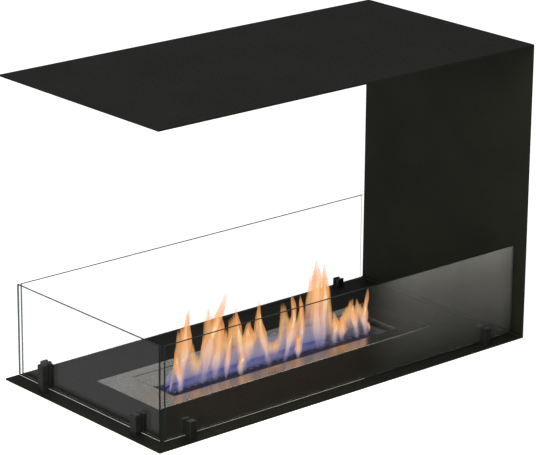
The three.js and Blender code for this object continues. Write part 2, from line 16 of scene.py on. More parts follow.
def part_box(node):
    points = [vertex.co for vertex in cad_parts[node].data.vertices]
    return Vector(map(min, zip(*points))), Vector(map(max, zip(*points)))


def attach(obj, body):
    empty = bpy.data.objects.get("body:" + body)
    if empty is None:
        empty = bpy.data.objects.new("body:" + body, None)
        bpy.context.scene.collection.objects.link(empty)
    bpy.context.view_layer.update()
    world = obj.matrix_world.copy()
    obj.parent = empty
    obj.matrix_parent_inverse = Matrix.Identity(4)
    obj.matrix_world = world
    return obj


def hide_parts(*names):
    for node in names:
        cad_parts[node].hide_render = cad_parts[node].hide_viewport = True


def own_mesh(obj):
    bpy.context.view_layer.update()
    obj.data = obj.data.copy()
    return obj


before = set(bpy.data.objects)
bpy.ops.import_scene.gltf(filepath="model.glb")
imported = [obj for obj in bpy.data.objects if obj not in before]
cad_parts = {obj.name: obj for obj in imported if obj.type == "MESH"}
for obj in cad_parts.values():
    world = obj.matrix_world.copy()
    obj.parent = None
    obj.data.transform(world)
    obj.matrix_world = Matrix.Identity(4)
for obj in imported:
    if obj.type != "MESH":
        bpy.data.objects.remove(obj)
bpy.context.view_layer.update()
MM = 0.001
print("pieces from the CAD model:", len(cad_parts))

# %% [markdown]
# ## Camera
# A product picture like this one is taken from far off with a long lens, so that the plates stay
# nearly parallel. The camera could be placed by hand, but its place is easier to keep when it is
# worked out: it looks at a target from an azimuth and an elevation, at a distance, with a small
# roll. Azimuth 0 is straight in front.

# %% Place the camera
AZIMUTH, ELEVATION, ROLL = (math.radians(a) for a in (-40.955, 18.31, 0.485))
TARGET = Vector((-0.044, -0.0425, 0.252))
DISTANCE = 4.598
LENS_MM = 189.05
SENSOR_MM = 36.0

back = Vector((
    math.sin(AZIMUTH) * math.cos(ELEVATION),
    -math.cos(AZIMUTH) * math.cos(ELEVATION),
    math.sin(ELEVATION),
))
level = Vector((0, 0, 1)).cross(back).normalized()
upright = back.cross(level)
right = math.cos(ROLL) * level + math.sin(ROLL) * upright
above = math.cos(ROLL) * upright - math.sin(ROLL) * level

lens = bpy.data.cameras.new("camera")
lens.lens = LENS_MM
lens.sensor_width = SENSOR_MM
lens.sensor_fit = "HORIZONTAL"
camera = bpy.data.objects.new("camera", lens)
camera.matrix_world = (
    Matrix.Translation(TARGET + back * DISTANCE) @ Matrix((right, above, back)).transposed().to_4x4()
)
bpy.context.scene.collection.objects.link(camera)
bpy.context.scene.camera = camera
print("camera stands", [round(v, 3) for v in camera.matrix_world.translation])

# %% [markdown]
# ## Surfaces from formulas
# Every new piece here is a surface of two parameters. The formula gives a grid of points as one
# numpy array, and the grid is sewn into quads. Every grid closes on itself round its second
# parameter, like a tube, and its first and last rows can be closed with caps or run into poles.

# %% Turn a grid of points into a mesh
def grid_faces(rows, columns):
    """Quads between neighbours of a grid whose last column is joined to its first."""
    row = np.arange(rows - 1)[:, None]
    column = np.arange(columns)[None, :]
    beside = (column + 1) % columns
    corners = (
        row * columns + column,
        row * columns + beside,
        (row + 1) * columns + beside,
        (row + 1) * columns + column,
    )
    return np.stack(np.broadcast_arrays(*corners), axis=-1).reshape(-1, 4)


def pole_faces(rings, columns):
    """Faces of a closed form whose points are a first pole, its rings and a last pole."""
    ring = np.arange(columns)
    beside = (ring + 1) % columns
    start = 1 + (rings - 1) * columns
    last = 1 + rings * columns
    first_fan = np.column_stack([0 * ring, beside + 1, ring + 1])
    last_fan = np.column_stack([last + 0 * ring, start + ring, start + beside])
    return (grid_faces(rings, columns) + 1).tolist() + first_fan.tolist() + last_fan.tolist()


def make_mesh(name, points, loops, material, smooth=True):
    """An object from an N x 3 array of points in metres and a list of faces."""
    mesh = bpy.data.meshes.new(name)
    mesh.from_pydata(points.tolist(), [], [list(loop) for loop in loops])
    mesh.polygons.foreach_set("use_smooth", np.full(len(mesh.polygons), smooth))
    mesh.materials.append(material)
    mesh.validate()
    mesh.update()
    item = bpy.data.objects.new(name, mesh)
    bpy.context.scene.collection.objects.link(item)
    return item


# %% [markdown]
# ## Floor and light
# The real picture has a pure white ground and no shadow. Here a pale floor stands for the plinth
# that carries the fireplace. It has a well under the burner, because the fuel tray hangs through
# it. The light is a wide soft studio: an even sky, three soft boxes, and a dark patch low in the
# front right corner, as a photographer's black card gives, so that the front pane stays clear.

# %% Make the floor with its well
FLOOR_HALF = 3.2
FLOOR_DROP = 0.4 * MM
WELL_MARGIN = 6 * MM
WELL_DEPTH = 90 * MM

tray_low, tray_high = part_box("burner_tray")


def floor_points():
    """Square rings from the floor's edge to the well's rim, down the wall and in to its middle."""
    x0, x1 = tray_low[0] - WELL_MARGIN, tray_high[0] + WELL_MARGIN
    y0, y1 = tray_low[1] - WELL_MARGIN, tray_high[1] + WELL_MARGIN
    middle = np.array([(x0 + x1) / 2, (y0 + y1) / 2])
    rim = np.array([[x0, y0], [x1, y0], [x1, y1], [x0, y1]])
    edge = np.array([[-1, -1], [1, -1], [1, 1], [-1, 1]]) * FLOOR_HALF
    rings = [edge, rim, rim, middle + 0 * rim]
    heights = [-FLOOR_DROP, -FLOOR_DROP, -WELL_DEPTH, -WELL_DEPTH]
    return np.concatenate([
        np.column_stack([ring, np.full(4, height)]) for ring, height in zip(rings, heights)
    ])


def new_material(name):
    """A node material, with its tree and its main shader."""
    material = bpy.data.materials.new(name)
    material.use_nodes = True
    return material, material.node_tree, material.node_tree.nodes["Principled BSDF"]


floor_paint, tree, shader = new_material("floor_paint")
shader.inputs["Base Color"].default_value = (0.8, 0.8, 0.79, 1)
shader.inputs["Roughness"].default_value = 0.9
shader.inputs["Emission Color"].default_value = (1, 1, 1, 1)
shader.inputs["Emission Strength"].default_value = 0.85

floor = make_mesh("floor", floor_points(), grid_faces(rows=4, columns=4), floor_paint, smooth=False)
floor.visible_glossy = False
print("the well is", round(tray_high[0] - tray_low[0] + 2 * WELL_MARGIN, 3), "m long")

# %% Light the studio
scene = bpy.context.scene
scene.view_settings.view_transform = "Standard"
world = bpy.data.worlds.new("studio")
scene.world = world
world.use_nodes = True
SKY_LEVEL = 0.32
CARD_DEPTH = 0.31
SKY_SEEN = 1.22
CARD_FROM = (0.62, -0.72, -0.31)


def add_node(tree, kind, settings=None, **sockets):
    """A node with its settings and its sockets set; a socket given as a value is linked."""
    node = tree.nodes.new(kind)
    for name, value in (settings or {}).items():
        setattr(node, name, value)
    for name, value in sockets.items():
        socket = node.inputs[int(name[1:]) if name[1:].isdigit() else name.replace("_", " ")]
        if isinstance(value, bpy.types.NodeSocket):
            tree.links.new(value, socket)
        else:
            socket.default_value = value
    return node


def ramp(tree, factor, *stops):
    """A colour ramp through stops of (position, colour); a single number is a grey."""
    node = add_node(tree, "ShaderNodeValToRGB", Fac=factor)
    elements = node.color_ramp.elements
    while len(elements) < len(stops):
        elements.new(1.0)
    for element, (position, colour) in zip(elements, stops):
        element.position = position
        element.color = (*colour, 1) if isinstance(colour, tuple) else (colour, colour, colour, 1)
    return node.outputs["Color"]


def math_node(tree, operation, a, b=0.0):
    """The result of a sum on one or two numbers."""
    return add_node(tree, "ShaderNodeMath", {"operation": operation}, i0=a, i1=b).outputs[0]


def dot_product(tree, a, b):
    """How far the direction or place a reaches along b."""
    node = add_node(tree, "ShaderNodeVectorMath", {"operation": "DOT_PRODUCT"}, i0=a, i1=b)
    return node.outputs["Value"]


sky = world.node_tree
sky.nodes.clear()
direction = add_node(sky, "ShaderNodeTexCoord").outputs["Generated"]
card = ramp(sky, dot_product(sky, direction, CARD_FROM), (0.8, 0.0), (0.93, 1.0))
strength = math_node(sky, "MULTIPLY_ADD", card, -CARD_DEPTH)
strength.node.inputs[2].default_value = SKY_LEVEL
seen = add_node(sky, "ShaderNodeLightPath").outputs["Is Camera Ray"]
lit_sky = add_node(sky, "ShaderNodeBackground", Color=(0.97, 0.985, 1.0, 1), Strength=strength)
seen_sky = add_node(sky, "ShaderNodeBackground", Color=(1, 1, 1, 1), Strength=SKY_SEEN)
mixed = add_node(sky, "ShaderNodeMixShader", Fac=seen, i1=lit_sky.outputs[0], i2=seen_sky.outputs[0])
add_node(sky, "ShaderNodeOutputWorld", Surface=mixed.outputs[0])


def soft_box(name, place, aim, size, power):
    """A square area light at a place, turned so that it shines at aim."""
    light = bpy.data.lights.new(name, "AREA")
    light.size = size
    light.energy = power
    lamp = bpy.data.objects.new(name, light)
    facing = (Vector(aim) - Vector(place)).to_track_quat("-Z", "Y")
    lamp.matrix_world = Matrix.Translation(place) @ facing.to_matrix().to_4x4()
    lamp.visible_camera = False
    scene.collection.objects.link(lamp)
    return lamp


soft_box("key_light", place=(-1.5, -1.2, 1.9), aim=(0, 0, 0.3), size=1.4, power=31)
soft_box("fill_light", place=(2.4, -2.6, 1.2), aim=(0, 0, 0.25), size=1.6, power=14)
soft_box("wall_light", place=(-2.6, -0.5, 0.34), aim=(0.4, 0, 0.3), size=1.0, power=32)

# %% [markdown]
# ## Black powder coat
# Powder coat is a baked plastic skin. Close up it has a fine orange peel, it is never quite the
# same black all over, and it is duller where it has been wiped. The peel is a fine noise on the
# bump, the clouds are a coarse one on colour, and a third noise sets the roughness. Noise on
# object coordinates needs no seams and keeps its real size on every plate.

# %% Mix the powder coat
def noise(tree, coordinates, scale, detail=3.0, roughness=0.5):
    """Noise with features of about 1 / scale metres."""
    node = add_node(
        tree, "ShaderNodeTexNoise", Vector=coordinates, Scale=scale, Detail=detail, Roughness=roughness
    )
    return node.outputs["Fac"]


def object_place(tree, stretch=(1, 1, 1)):
    """Object coordinates in metres, squeezed along any axis."""
    place = add_node(tree, "ShaderNodeTexCoord").outputs["Object"]
    return add_node(tree, "ShaderNodeMapping", Vector=place, Scale=stretch).outputs[0]


def bump(tree, height, depth):
    """A bump of the given depth in metres."""
    return add_node(tree, "ShaderNodeBump", Height=height, Distance=depth).outputs[0]


powder_coat, tree, shader = new_material("powder_coat")
place = object_place(tree)
clouds = noise(tree, place, scale=9, detail=4)
peel = noise(tree, place, scale=900, detail=2)
speck = noise(tree, place, scale=260, detail=2, roughness=0.7)
colour = ramp(tree, clouds, (0.3, (0.0066, 0.0074, 0.0040)), (0.7, (0.0106, 0.0118, 0.0064)))
tree.links.new(colour, shader.inputs["Base Color"])
tree.links.new(ramp(tree, speck, (0.35, 0.58), (0.75, 0.72)), shader.inputs["Roughness"])
tree.links.new(bump(tree, peel, 0.06 * MM), shader.inputs["Normal"])
shader.inputs["Specular IOR Level"].default_value = 0.16


def finish(material, *nodes):
    """Gives CAD pieces a finish in place of their flat colour."""
    for name in nodes:
        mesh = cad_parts[name].data
        mesh.materials.clear()
        mesh.materials.append(material)


WELD_GAP = 0.005 * MM
SHARP_ANGLE = math.radians(40)
PLATE_ROUND = 0.5 * MM


def soften(width, *nodes, segments=2):
    """Rounds the edges of CAD pieces: their loose triangles are welded first, then bevelled."""
    for name in nodes:
        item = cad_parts[name]
        weld = item.modifiers.new("weld", "WELD")
        weld.merge_threshold = WELD_GAP
        edge = item.modifiers.new("bevel", "BEVEL")
        edge.width = width
        edge.segments = segments
        edge.limit_method = "ANGLE"
        edge.angle_limit = SHARP_ANGLE
        edge.harden_normals = False


PLATES = ("base_plate", "side_panel", "top_panel")
finish(powder_coat, *PLATES)
soften(PLATE_ROUND, "side_panel", "top_panel")
print("powder coat on", PLATES)

# %% [markdown]
# ## Weld beads
# The plates are welded along their two inside corners. Under the coat a bead shows as a low
# ripple: each ripple is one dip of the filler rod. A bevel would look machined, so the bead is a
# quarter-round profile carried along the corner, swelling and shrinking once per ripple.

# %% Lay the weld beads
RIPPLE = 3.2 * MM
RIPPLE_DEPTH = 0.28 * MM
RIPPLE_POWER = 0.7
WANDER_SHARE = 0.06
END_SHARE = 0.05
BEAD_STEPS = 600
BEAD_ROUND = 9


def weld_bead(name, node, up):
    """Profile: a quarter of an ellipse that fills the corner. Path: the corner's line along Y.
    The ellipse's radii swing by the ripple's depth, wander a little, and shrink almost to nothing
    at both ends."""
    low, high = (np.array(corner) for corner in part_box(node))
    corner_x, corner_z = high[0], low[2] if up > 0 else high[2]
    width, rise = high[0] - low[0], high[2] - low[2]
    y = np.linspace(low[1], high[1], BEAD_STEPS)[:, None]
    angle = np.linspace(0, math.pi / 2, BEAD_ROUND)[None, :]
    wave = np.abs(np.sin(math.pi * y / RIPPLE)) ** RIPPLE_POWER
    wander = 0.5 + 0.5 * np.sin(y * 61) * np.sin(y * 23 + 1)
    size = 1 - RIPPLE_DEPTH / rise * (1 - wave) - WANDER_SHARE * wander
    from_end = np.minimum(y - low[1], high[1] - y)
    end = np.minimum(1, np.sqrt(np.clip(from_end / rise, 0, 1)) + END_SHARE)
    x = corner_x - width * size * end * np.cos(angle)
    z = corner_z + up * rise * size * end * np.sin(angle)
    arc = np.stack([x, np.broadcast_to(y, x.shape), z], axis=-1)
    root = np.stack([np.full(y.shape, corner_x), y, np.full(y.shape, corner_z)], axis=-1)
    rows = np.concatenate([arc, root], axis=1)
    if up > 0:
        rows = rows[:, ::-1]
    count = rows.shape[1]
    faces = grid_faces(BEAD_STEPS, count).tolist()
    last = BEAD_STEPS * count
    faces += [list(range(count))[::-1], list(range(last - count, last))]
    item = make_mesh(name, rows.reshape(-1, 3), faces, powder_coat)
    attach(item, "casing")
    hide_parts(node)
    return item


weld_bead("lower_bead", "lower_weld", up=1)
weld_bead("upper_bead", "upper_weld", up=-1)

# %% [markdown]
# ## Glass screens
# The screens are 4 mm float glass. Looking through the faces there is almost nothing to see but
# a reflection, while the cut edges look dark, because light is caught inside them. The lower edge
# of the front and left panes is white: a painted highlight for the light refracted through the
# glass's foot. Real refraction would cost many samples for little, so the faces mix a clear and
# a mirror shader: 4.5% mirror face on, rising with the fifth power towards grazing, as glass does.
# The edges are found by which way they face.
# The front pane also carries a painted reflection: a pale diffuse layer, standing in for the
# studio's reflection in the glass, that grows to the right and upwards, with streaks.

# %% Make the glass
FACE_ON_SHARE = 0.045
# the painted highlight: a white band on the foot of the front and left panes, for the light refracted
# through it
PAINTED_GLINT_TOP = 6.3 * MM
# strength of the painted reflection on the front pane
PAINTED_REFLECTION_MOST = 0.098
PAINTED_GLINT_INSET = 1.7 * MM
PAINTED_GLINT_END = 50 * MM
FACE_LIMIT = 0.9
CUT_COVER = 0.9


def painted_reflection_share(tree, place):
    """How much painted reflection the front pane holds, standing in for the studio's reflection:
    its share along X, times its share up Z, times streaks of noise that are four times as tall as wide."""
    axes = add_node(tree, "ShaderNodeSeparateXYZ", Vector=place).outputs
    along = ramp(tree, axes["X"], (0.05, 0.0), (0.09, 0.3), (0.13, 0.66), (0.36, 1.0))
    upward = ramp(tree, axes["Z"], (0.01, 0.15), (0.065, 0.37), (0.12, 0.62), (0.16, 1.0))
    streaks = noise(tree, object_place(tree, (1, 1, 0.25)), scale=26, detail=3, roughness=0.6)
    share = math_node(tree, "MULTIPLY", along, upward)
    share = math_node(tree, "MULTIPLY", share, ramp(tree, streaks, (0.3, 0.72), (0.7, 1.0)))
    return math_node(tree, "MULTIPLY", share, PAINTED_REFLECTION_MOST)


def pane_masks(tree, coordinates, across, outer_face, has_painted_glint):
    """Masks of a pane's cut edges and of its painted highlight along the foot. An edge looks less
    than FACE_LIMIT along the axis called across. The painted highlight lies on edges that are low,
    near the outer face and left of its given end. A pane without one keeps a clear right end."""
    facing = math_node(tree, "ABSOLUTE", dot_product(tree, coordinates["Normal"], across))
    is_edge = math_node(tree, "LESS_THAN", facing, FACE_LIMIT)
    place = add_node(tree, "ShaderNodeSeparateXYZ", Vector=coordinates["Object"]).outputs
    if has_painted_glint:
        # painted highlight: low edge faces near the outer face, left of its end
        through = dot_product(tree, coordinates["Object"], across)
        low_enough = math_node(tree, "LESS_THAN", place["Z"], PAINTED_GLINT_TOP)
        near_outside = math_node(tree, "LESS_THAN", through, outer_face + PAINTED_GLINT_INSET)
        before_end = math_node(tree, "LESS_THAN", place["X"], PAINTED_GLINT_END)
        is_painted_glint = math_node(tree, "MULTIPLY", low_enough, near_outside)
        return is_edge, math_node(tree, "MULTIPLY", is_painted_glint, before_end)
    normal = add_node(tree, "ShaderNodeSeparateXYZ", Vector=coordinates["Normal"]).outputs
    sideways = math_node(tree, "ABSOLUTE", normal["X"])
    not_end = math_node(tree, "LESS_THAN", sideways, FACE_LIMIT)
    left_half = math_node(tree, "LESS_THAN", place["X"], 0.0)
    shown = math_node(tree, "MAXIMUM", not_end, left_half)
    return math_node(tree, "MULTIPLY", is_edge, shown), 0.0


def clear_face(tree):
    """Clear glass under a mirror. The mirror's share is s + (1 - s) g^5, where s is its share
    face on and g says how grazing the view is."""
    mirror = add_node(tree, "ShaderNodeBsdfGlossy", Color=(1, 1, 1, 1), Roughness=0.0)
    clear = add_node(tree, "ShaderNodeBsdfTransparent", Color=(0.994, 1.0, 0.998, 1))
    grazing = add_node(tree, "ShaderNodeLayerWeight", Blend=0.5).outputs["Facing"]
    fifth = math_node(tree, "POWER", grazing, 5)
    share = math_node(tree, "MULTIPLY_ADD", fifth, 1 - FACE_ON_SHARE)
    share.node.inputs[2].default_value = FACE_ON_SHARE
    return add_node(
        tree, "ShaderNodeMixShader", Fac=share, i1=clear.outputs[0], i2=mirror.outputs[0]
    ).outputs[0]


def cut_edge(tree, shader, coordinates, is_painted_glint):
    """The dark green of a cut edge, and the white painted highlight along a pane's foot."""
    shader.inputs["Base Color"].default_value = (0.010, 0.015, 0.013, 1)
    shader.inputs["Roughness"].default_value = 0.2
    shader.inputs["Specular IOR Level"].default_value = 0.25
    see = add_node(tree, "ShaderNodeBsdfTransparent", Color=(0.75, 0.85, 0.8, 1))
    cut = add_node(
        tree, "ShaderNodeMixShader", Fac=CUT_COVER, i1=see.outputs[0], i2=shader.outputs[0]
    ).outputs[0]
    # the white painted highlight, with a fine grain
    glint_grain = noise(tree, coordinates["Object"], scale=700, detail=2)
    painted_glint_colour = ramp(tree, glint_grain, (0.3, 0.75), (0.7, 0.95))
    painted_glint_shader = add_node(tree, "ShaderNodeBsdfDiffuse", Color=painted_glint_colour).outputs[0]
    return add_node(tree, "ShaderNodeMixShader", Fac=is_painted_glint, i1=cut, i2=painted_glint_shader).outputs[0]


def glass_finish(name, across, outer_face, painted_reflection=False, has_painted_glint=True):
    """Clear glass for a pane whose faces look along the axis called across, with cut edges. Its
    outer face stands at outer_face on that axis."""
    material, tree, shader = new_material(name)
    coordinates = add_node(tree, "ShaderNodeTexCoord").outputs
    is_edge, is_painted_glint = pane_masks(tree, coordinates, across, outer_face, has_painted_glint)
    face = clear_face(tree)
    if painted_reflection:
        # painted reflection: a pale layer that stands in for the studio's reflection in the front pane
        painted_reflection_layer = add_node(tree, "ShaderNodeBsdfDiffuse", Color=(0.90, 0.87, 0.80, 1)).outputs[0]
        amount = painted_reflection_share(tree, coordinates["Object"])
        face = add_node(tree, "ShaderNodeMixShader", Fac=amount, i1=face, i2=painted_reflection_layer).outputs[0]
    edge = cut_edge(tree, shader, coordinates, is_painted_glint)
    whole = add_node(tree, "ShaderNodeMixShader", Fac=is_edge, i1=face, i2=edge).outputs[0]
    tree.links.new(whole, tree.nodes["Material Output"].inputs["Surface"])
    return material


front_face, left_face, rear_face = (
    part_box(pane)[0][axis] for pane, axis in (("front_glass", 1), ("left_glass", 0), ("rear_glass", 1))
)
finish(glass_finish("front_pane_glass", (0, 1, 0), front_face, painted_reflection=True), "front_glass")
finish(glass_finish("left_pane_glass", (1, 0, 0), left_face), "left_glass")
finish(glass_finish("rear_pane_glass", (0, 1, 0), rear_face, has_painted_glint=False), "rear_glass")
for pane in ("front_glass", "left_glass", "rear_glass"):
    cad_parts[pane].visible_shadow = False
    low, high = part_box(pane)
    print(pane, "is", [round((b - a) / MM, 1) for a, b in zip(low, high)], "mm")

# %% [markdown]
# ## Clips, liners and screws
# Each clip is a small sawn block of black anodised aluminium with a slot for the glass, lined
# with black rubber so that no metal touches the pane. Its edges are bright lines in the picture,
# because they are chamfered and catch the light, so they are rounded a little more here.

# %% Finish the clips
CLIP_ROUND = 0.3 * MM
CLIPS = ("front_left", "front_right", "left_front", "left_rear", "rear_left", "rear_right")

clip_black, tree, shader = new_material("clip_black")
place = object_place(tree, (1, 1, 0.12))
grain = noise(tree, place, scale=1400, detail=2)
worn = noise(tree, object_place(tree), scale=120, detail=3)
colour = ramp(tree, worn, (0.35, (0.007, 0.007, 0.0065)), (0.75, (0.014, 0.014, 0.013)))
tree.links.new(colour, shader.inputs["Base Color"])
tree.links.new(ramp(tree, grain, (0.3, 0.3), (0.8, 0.42)), shader.inputs["Roughness"])
tree.links.new(bump(tree, grain, 0.02 * MM), shader.inputs["Normal"])
shader.inputs["Specular IOR Level"].default_value = 0.4

liner_rubber, tree, shader = new_material("liner_rubber")
dust = noise(tree, object_place(tree), scale=500, detail=3)
tree.links.new(ramp(tree, dust, (0.3, 0.012), (0.8, 0.03)), shader.inputs["Base Color"])
tree.links.new(ramp(tree, dust, (0.3, 0.75), (0.8, 0.9)), shader.inputs["Roughness"])
tree.links.new(bump(tree, dust, 0.05 * MM), shader.inputs["Normal"])

screw_black, tree, shader = new_material("screw_black")
scale_marks = noise(tree, object_place(tree), scale=900, detail=3)
tree.links.new(ramp(tree, scale_marks, (0.3, 0.01), (0.8, 0.035)), shader.inputs["Base Color"])
tree.links.new(ramp(tree, scale_marks, (0.3, 0.35), (0.8, 0.55)), shader.inputs["Roughness"])
shader.inputs["Metallic"].default_value = 0.7

finish(clip_black, *(f"clip_{name}" for name in CLIPS))
finish(liner_rubber, *(f"clip_liner_{name}" for name in CLIPS))
finish(screw_black, *(f"clip_screw_{name}" for name in CLIPS))
soften(CLIP_ROUND, *(f"clip_{name}" for name in CLIPS))

# %% [markdown]
# ## Brushed stainless steel
# The burner's flange and lid are brushed along their length: thousands of fine scratches that
# spread a reflection across them. Noise that is 150 times as long as wide draws such scratches. They
# drive the roughness and a very shallow bump, and the heat leaves a faint straw tint round the
# fire slot. Whatever doesn't look up gets a paler colour: a painted highlight for the light that
# the sheet's cut edges catch.

# %% Brush the steel
FIRE_SLOT_Y = -13.7 * MM
TINT_REACH = 55 * MM
STRAW = (1.0, 0.86, 0.66, 1)
SCRATCH_STRETCH = (8, 1200, 1200)
SCRATCH_DEPTH = 0.012 * MM
LID_ROUND = 0.25 * MM
FLANGE_ROUND = 0.5 * MM
# pale colour of the painted highlight on the steel's faces that don't look up
PAINTED_HIGHLIGHT_COLOUR = (0.92, 0.90, 0.86, 1)


def heat_tint(tree, colour, smears):
    """Straw yellow near the fire slot: 1 - distance / reach, times the smears."""
    y = add_node(tree, "ShaderNodeSeparateXYZ", Vector=object_place(tree)).outputs["Y"]
    away = math_node(tree, "ABSOLUTE", math_node(tree, "SUBTRACT", y, FIRE_SLOT_Y))
    near = math_node(tree, "SUBTRACT", 1.0, math_node(tree, "DIVIDE", away, TINT_REACH))
    heat = math_node(tree, "MULTIPLY", near, smears)
    mix = add_node(tree, "ShaderNodeMix", {"data_type": "RGBA", "blend_type": "MULTIPLY"})
    tree.links.new(ramp(tree, heat, (0.1, 0.0), (0.5, 0.6)), mix.inputs[0])
    tree.links.new(colour, mix.inputs[6])
    mix.inputs[7].default_value = STRAW
    return mix.outputs[2]


def painted_edge_highlight(tree, colour):
    """A painted highlight: a pale colour wherever the surface doesn't look up."""
    normal = add_node(tree, "ShaderNodeTexCoord").outputs["Normal"]
    upright = add_node(tree, "ShaderNodeSeparateXYZ", Vector=normal).outputs["Z"]
    mix = add_node(tree, "ShaderNodeMix", {"data_type": "RGBA"})
    tree.links.new(ramp(tree, upright, (0.3, 1.0), (0.97, 0.0)), mix.inputs[0])
    tree.links.new(colour, mix.inputs[6])
    mix.inputs[7].default_value = PAINTED_HIGHLIGHT_COLOUR
    return mix.outputs[2]


def steel(name, tone, roughness, brushed):
    """Stainless steel with scratches along X. A brushed sheet also gets a heat tint, and a painted
    highlight on whatever doesn't look up.
    """
    material, tree, shader = new_material(name)
    scratches = noise(
        tree, object_place(tree, SCRATCH_STRETCH), scale=1.0, detail=4, roughness=0.65
    )
    smears = noise(tree, object_place(tree, (1, 2.5, 1)), scale=14, detail=3)
    fine, coarse = roughness
    dark, pale = tone
    colour = ramp(tree, scratches, (0.25, dark), (0.8, pale))
    if brushed:
        # painted highlight on every face that doesn't look up
        colour = painted_edge_highlight(tree, heat_tint(tree, colour, smears))
    tree.links.new(colour, shader.inputs["Base Color"])
    rough = add_node(tree, "ShaderNodeMath", {"operation": "MULTIPLY_ADD"}, i0=scratches, i1=0.1)
    tree.links.new(ramp(tree, smears, (0.3, fine), (0.8, coarse)), rough.inputs[2])
    tree.links.new(rough.outputs[0], shader.inputs["Roughness"])
    tree.links.new(bump(tree, scratches, SCRATCH_DEPTH), shader.inputs["Normal"])
    shader.inputs["Metallic"].default_value = 1.0
    return material


brushed_steel = steel(
    "brushed_steel", ((0.35, 0.325, 0.295), (0.49, 0.46, 0.42)), (0.15, 0.23), brushed=True
)
tank_steel = steel(
    "tank_steel", ((0.22, 0.215, 0.205), (0.36, 0.35, 0.335)), (0.36, 0.5), brushed=False
)
finish(brushed_steel, "burner_flange", "burner_lid")
finish(
    tank_steel, "burner_tray", "fuel_tank", "tank_spacer_left", "tank_spacer_right",
    "flame_grille", "lid_deck", "lid_runner_left", "lid_runner_right",
)
soften(LID_ROUND, "burner_lid", segments=1)
soften(FLANGE_ROUND, "burner_flange")

# %% [markdown]
# ## Ceramic wool
# Three blocks of ceramic wool soak up the fuel. A block isn't a crisp box: its edges are round
# and its faces swell and dip where fibres bunch. A rounded box is a sphere whose directions are
# pushed out to a box with a high power, and a few slow waves make the bunches.

# %% Stuff the tank with wool
WOOL_ROWS = 48
WOOL_COLUMNS = 96
WOOL_POWER = 7
WOOL_SWELL = 1.2 * MM

ceramic_wool, tree, shader = new_material("ceramic_wool")
fibres = noise(tree, object_place(tree, (1, 1, 3)), scale=420, detail=5, roughness=0.7)
tree.links.new(
    ramp(tree, fibres, (0.25, (0.42, 0.41, 0.39)), (0.75, (0.78, 0.77, 0.74))),
    shader.inputs["Base Color"],
)
tree.links.new(ramp(tree, fibres, (0.2, 0.85), (0.8, 1.0)), shader.inputs["Roughness"])
tree.links.new(bump(tree, fibres, 0.6 * MM), shader.inputs["Normal"])


def wool_block(number):
    """Rounded box: on the unit sphere of latitude and longitude, each direction d is stretched
    to d / (|x|^p + |y|^p + |z|^p)^(1/p), then scaled to the block's half sizes, less a swell
    that is the product of two slow sine waves."""
    node = f"wool_pad_{number}"
    low, high = (np.array(corner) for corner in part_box(node))
    middle, half = (low + high) / 2, (high - low) / 2
    latitude = np.linspace(-math.pi / 2, math.pi / 2, WOOL_ROWS)[1:-1, None]
    longitude = np.linspace(0, 2 * math.pi, WOOL_COLUMNS, endpoint=False)[None, :]
    ball = np.stack([
        np.cos(latitude) * np.cos(longitude),
        np.cos(latitude) * np.sin(longitude),
        np.sin(latitude) + 0 * longitude,
    ], axis=-1).reshape(-1, 3)
    ball = np.concatenate([[[0, 0, -1]], ball, [[0, 0, 1]]])
    stretch = (np.abs(ball) ** WOOL_POWER).sum(axis=1, keepdims=True) ** (-1 / WOOL_POWER)
    box = ball * stretch
    wave = np.sin(box[:, 0] * 9 + number) * np.cos(box[:, 1] * 5 + box[:, 2] * 4 + 2 * number)
    points = middle + box * (half - WOOL_SWELL * (0.5 + 0.5 * wave)[:, None])
    faces = pole_faces(WOOL_ROWS - 2, WOOL_COLUMNS)
    item = make_mesh(f"wool_block_{number}", points, faces, ceramic_wool)
    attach(item, "burner")
    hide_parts(node)
    return item


for number in (1, 2, 3):
    wool_block(number)

# %% [markdown]
# ## Flames
# The flames aren't part of the object, so they are stage pieces. A flame has no surface, but a
# thin closed skin that lets more through where it is seen edge on looks like a body of glowing
# gas, and costs far less than a volume. Each tongue is a round profile carried up a curved
# spine: wide low down, drawn out to a tip. A second, narrower tongue inside gives the pale core.
# They follow the burner.

# %% Shape the tongues
TONGUE_RINGS = 44
TONGUE_SIDES = 24
FLAT = 0.55
FLICKER = 2.8 * MM
BULGE = 0.2
LOBE = 0.13

# depth y, half width, then the spine's points (x, z), all in mm
TONGUES = (
    (-14, 11, ((-206, -6), (-203, 30), (-196, 75), (-192, 112), (-184, 138))),
    (-16, 7, ((-208, -6), (-206, 20), (-215, 50), (-219, 82))),
    (-10, 14, ((-156, -6), (-146, 40), (-140, 72), (-126, 100), (-100, 152))),
    (-12, 12, ((-132, -6), (-128, 40), (-118, 75), (-116, 108))),
    (-18, 6, ((-112, -6), (-110, 30), (-101, 60), (-100, 98))),
    (-14, 8, ((-66, -6), (-76, 40), (-86, 80), (-90, 124))),
    (-5, 15, ((-56, 4), (-52, 40), (-56, 60), (-48, 80))),
    (-20, 8, ((-18, -6), (-30, 34), (-42, 75), (-45, 132))),
    (-22, 9, ((12, -6), (18, 24), (40, 58), (34, 88), (26, 118))),
    (-10, 6, ((62, -6), (59, 40), (64, 70), (58, 104))),
    (-14, 13, ((98, -6), (88, 40), (92, 80), (94, 130), (84, 172))),
    (-18, 9, ((100, -6), (108, 50), (106, 100), (101, 166))),
    (-14, 8, ((134, -6), (131, 24), (137, 40), (132, 56))),
    (-16, 8, ((186, -6), (176, 30), (170, 54), (169, 76))),
    (-16, 8, ((206, -6), (196, 26), (198, 52), (209, 84))),
    (-8, 9, ((156, -6), (154, 14), (160, 30), (157, 42))),
    (-24, 7, ((42, -6), (40, 18), (46, 32), (44, 48))),
    (-24, 7, ((-84, -6), (-86, 16), (-80, 30), (-84, 44))),
)


def bezier(points, t):
    """Points on a curve drawn by its control points: each point's pull at t is a binomial."""
    points = np.array(points, float)
    order = len(points) - 1
    share = np.array([math.comb(order, k) for k in range(order + 1)])
    power = np.arange(order + 1)
    pull = share * t[:, None] ** power * (1 - t[:, None]) ** (order - power)
    return pull @ points


